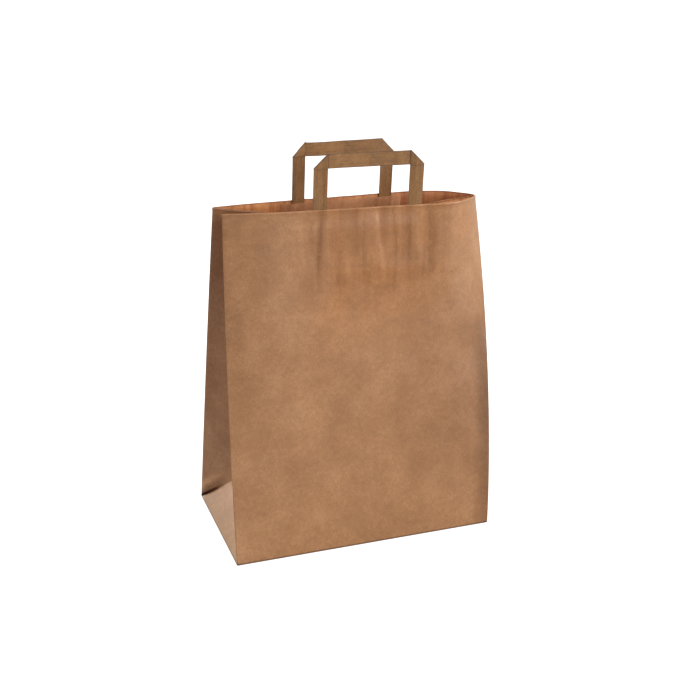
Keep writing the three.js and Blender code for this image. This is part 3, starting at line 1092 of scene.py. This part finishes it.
def make_inside():
    """The sheet's inner face, streaked up and down, lighter and redder than the paper alone as a painted
    glow of light coming through it, with painted shade at the closed end of the mouth.
    """
    # Lighter, redder colours that paint in the glow of light passing through the paper
    material, sheet, colour, _ = kraft(
        "kraft_inside", (0.37, 0.15, 0.05), (0.5, 0.215, 0.073), (0.6, 0.28, 0.104), 0.65, bump=0.2
    )
    streaky = streaked(material, sheet, across=170, along=9, detail=3, level=0.46, contrast=3.5)
    colour = shaded(material, streaky, colour, (0.64, 0.5, 0.42))
    # Painted shade inside the closed end of the mouth
    closed_end_shade = banded(material, part_of(material, sheet, 0), -600, 55, 40)
    return coloured(material, shaded(material, closed_end_shade, colour, (0.75, 0.66, 0.66)))


def make_patch_paper():
    return kraft("kraft_patch", (0.3, 0.13, 0.055), (0.4, 0.18, 0.08), (0.46, 0.23, 0.11), 0.6, bump=0.25)[0]


def finish_piece(obj, slot, *nodes):
    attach(obj, "root")
    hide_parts(*nodes)


# The studio


def make_stage():
    """A plain pale floor, just under the bag, that shows white and throws little light back."""
    bpy.ops.object.select_all(action="DESELECT")
    bpy.ops.mesh.primitive_plane_add(size=8, location=(0, 0, -0.3 * mm))
    floor = bpy.context.object
    floor.name = "studio_floor"
    white = bpy.data.materials.new("studio_white")
    white.use_nodes = True
    shader = white.node_tree.nodes["Principled BSDF"]
    shader.inputs["Base Color"].default_value = (0.35, 0.35, 0.35, 1)
    shader.inputs["Roughness"].default_value = 0.9
    shader.inputs["Emission Color"].default_value = (1, 1, 1, 1)
    seen = add(white.node_tree.nodes, "ShaderNodeLightPath")
    lift = math_node(white.node_tree, "MULTIPLY", seen.outputs["Is Camera Ray"], 0.85)
    white.node_tree.links.new(lift, shader.inputs["Emission Strength"])
    floor.data.materials.append(white)


def area_light(name, place, target, size, power):
    bpy.ops.object.light_add(type="AREA", location=place)
    lamp = bpy.context.object
    lamp.name = name
    lamp.data.size = size
    lamp.data.energy = power
    lamp.rotation_euler = (Vector(target) - Vector(place)).to_track_quat("-Z", "Y").to_euler()


def lobe(tree, direction, towards, strongest):
    """Light that falls off away from one direction of the sky."""
    facing_it = vector_math(tree, "DOT_PRODUCT", direction, tuple(Vector(towards).normalized()))
    return math_node(tree, "MULTIPLY", math_node(tree, "MAXIMUM", facing_it, 0), strongest)


def make_lamps():
    area_light("front_softbox", place=(0.25, -2.5, 1.2), target=(0, 0, 0.2), size=1.0, power=25)
    area_light("key_softbox", place=(3.0, -2.4, 1.2), target=(0, 0, 0.25), size=1.3, power=64)
    area_light("top_right_softbox", place=(1.2, 0.0, 1.7), target=(0, 0, 0.3), size=0.7, power=20)
    area_light("left_softbox", place=(-1.3, 1.4, 0.8), target=(0, 0, 0.15), size=0.9, power=26)


def make_surroundings():
    """A white room that is brighter behind and in front than at the sides, and plain white to the eye."""
    world = bpy.data.worlds.new("studio")
    world.use_nodes = True
    tree = world.node_tree
    background = tree.nodes["Background"]
    background.inputs["Color"].default_value = (1, 1, 1, 1)
    direction = add(tree.nodes, "ShaderNodeTexCoord").outputs["Generated"]
    backdrop = lobe(tree, direction, towards=(-0.15, 0.8, 0.6), strongest=1.3)
    fill = lobe(tree, direction, towards=(0.2, -0.9, 0.4), strongest=0.5)
    everywhere = 0.14
    seen_white = 1.1
    level = math_node(tree, "ADD", math_node(tree, "ADD", backdrop, fill), everywhere)
    seen = add(tree.nodes, "ShaderNodeLightPath")
    strength = add(tree.nodes, "ShaderNodeMix", data_type="FLOAT")
    strength.inputs[3].default_value = seen_white
    tree.links.new(seen.outputs["Is Camera Ray"], strength.inputs[0])
    tree.links.new(level, strength.inputs[2])
    tree.links.new(strength.outputs[0], background.inputs["Strength"])
    bpy.context.scene.world = world
    bpy.context.scene.view_settings.view_transform = "Standard"


def make_camera():
    """The camera stands to the left of the bag and above it, and looks a little past its middle."""
    azimuth = math.radians(camera_azimuth)
    elevation = math.radians(camera_elevation)
    level = math.cos(elevation)
    right = Vector((math.cos(azimuth), math.sin(azimuth), 0))
    back = Vector((math.sin(azimuth) * level, -math.cos(azimuth) * level, math.sin(elevation)))
    up = back.cross(right)
    place = right * camera_aside + up * camera_up + back * camera_distance
    bpy.ops.object.camera_add(location=place)
    camera = bpy.context.object
    camera.name = "camera"
    camera.rotation_euler = (-back).to_track_quat("-Z", "Y").to_euler()
    camera.data.sensor_width = sensor_width
    camera.data.lens = focal_pixels / picture_size * sensor_width
    camera.data.shift_x = (picture_size / 2 - lens_middle[0]) / picture_size
    camera.data.shift_y = (lens_middle[1] - picture_size / 2) / picture_size
    bpy.context.scene.camera = camera


make_camera()
tape_paper = make_tape_paper()
patch_paper = make_patch_paper()
finish_piece(make_body(make_sheet(), make_inside()), "kraft_sheet", "bag_body")
for side in ("front", "back"):
    finish_piece(make_handle(side, tape_paper), "kraft_tape", side + "_handle")
    finish_piece(make_patch(side, patch_paper), "kraft_patch", side + "_handle_patch")
make_stage()
make_lamps()
make_surroundings()
